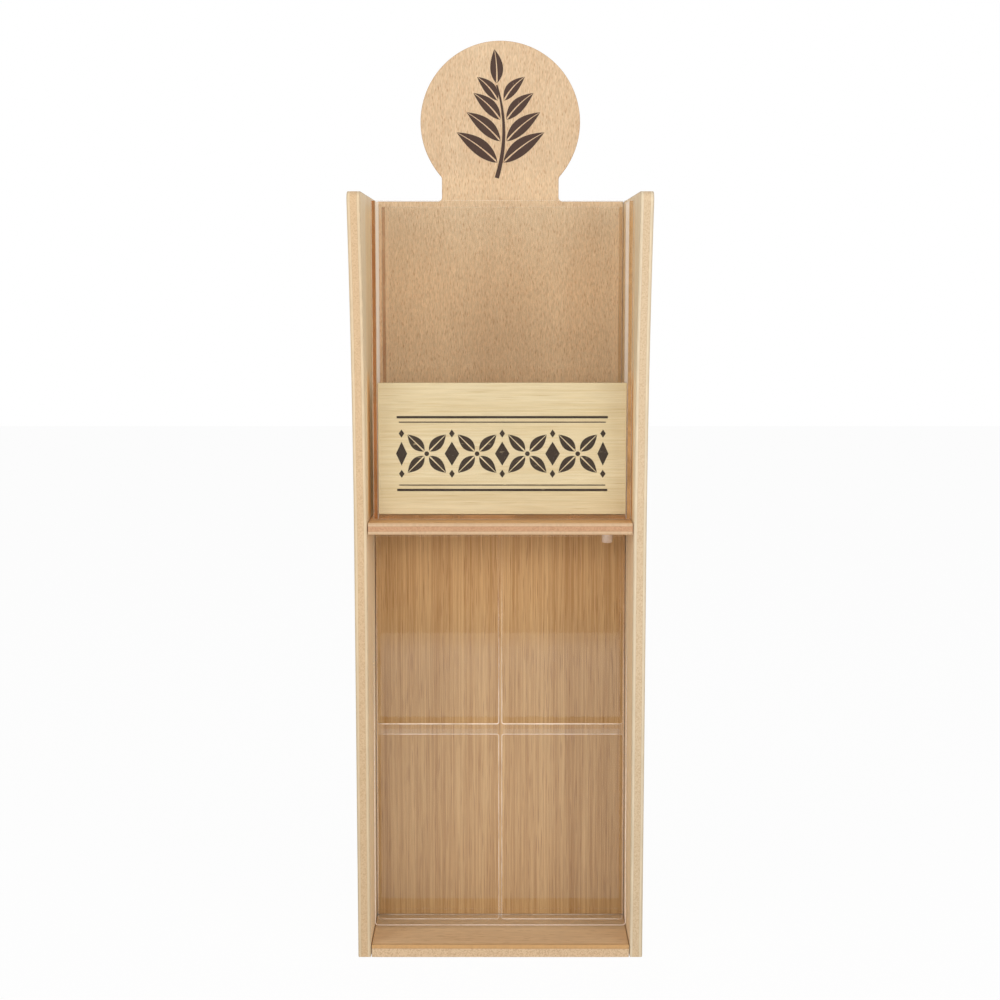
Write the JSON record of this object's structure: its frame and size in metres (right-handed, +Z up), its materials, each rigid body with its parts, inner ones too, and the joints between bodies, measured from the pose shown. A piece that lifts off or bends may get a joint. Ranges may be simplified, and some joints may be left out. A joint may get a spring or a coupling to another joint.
{
  "type": "cigarette counter display",
  "caption": "Tall narrow wooden counter display with a round-headed back board, a clear lift-out bin above and a clear tray with pack pockets below.",
  "frame": {"origin": "middle of the space that the stand takes up, on the counter", "axes": "+Z up, the open front faces -Y, +X to the right seen from the front"},
  "size_m": [0.135, 0.1114, 0.4366],
  "materials": {
    "pale_veneer": "clear satin lacquer on pale veneered ply",
    "beech": "clear satin lacquer on beech ply",
    "oak": "clear satin lacquer on oak veneer",
    "clear_plastic": "clear, polished",
    "steel": "plain wire"
  },
  "bodies": {
    "stand": {"side_panel_left": "pale_veneer", "side_panel_right": "pale_veneer", "back_board": "beech", "base_board": "beech", "mid_shelf": "beech", "lower_back_board": "oak", "stop_peg": "clear_plastic", "shelf_brad_left_1": "steel", "shelf_brad_right_1": "steel", "shelf_brad_left_2": "steel", "shelf_brad_right_2": "steel", "base_brad_left_1": "steel", "base_brad_right_1": "steel", "base_brad_left_2": "steel", "base_brad_right_2": "steel", "back_board_brad_left_1": "steel", "back_board_brad_right_1": "steel", "back_board_brad_left_2": "steel", "back_board_brad_right_2": "steel", "back_board_brad_left_3": "steel", "back_board_brad_right_3": "steel", "back_board_brad_left_4": "steel", "back_board_brad_right_4": "steel", "lower_back_brad_left_1": "steel", "lower_back_brad_right_1": "steel", "lower_back_brad_left_2": "steel", "lower_back_brad_right_2": "steel"},
    "clear_bin": {"bin_front_sheet": "clear_plastic", "bin_back_sheet": "clear_plastic", "bin_left_sheet": "clear_plastic", "bin_right_sheet": "clear_plastic", "bin_floor_sheet": "clear_plastic"},
    "insert": {"insert_board": "pale_veneer"},
    "tray": {"pack_tray": "clear_plastic"}
  },
  "joints": [
    {"name": "bin_lift", "type": "slide", "parent": "stand", "child": "clear_bin", "axis": [0, 0, 1], "range_m": [0, 0.155]},
    {"name": "insert_lift", "type": "slide", "parent": "clear_bin", "child": "insert", "axis": [0, 0, 1], "range_m": [0, 0.15]},
    {"name": "tray_tilt", "type": "hinge", "parent": "stand", "child": "tray", "pos_m": [0, 0.01503, 0.19864], "axis": [-1, 0, 0], "range_deg": [0, 9]}
  ]
}
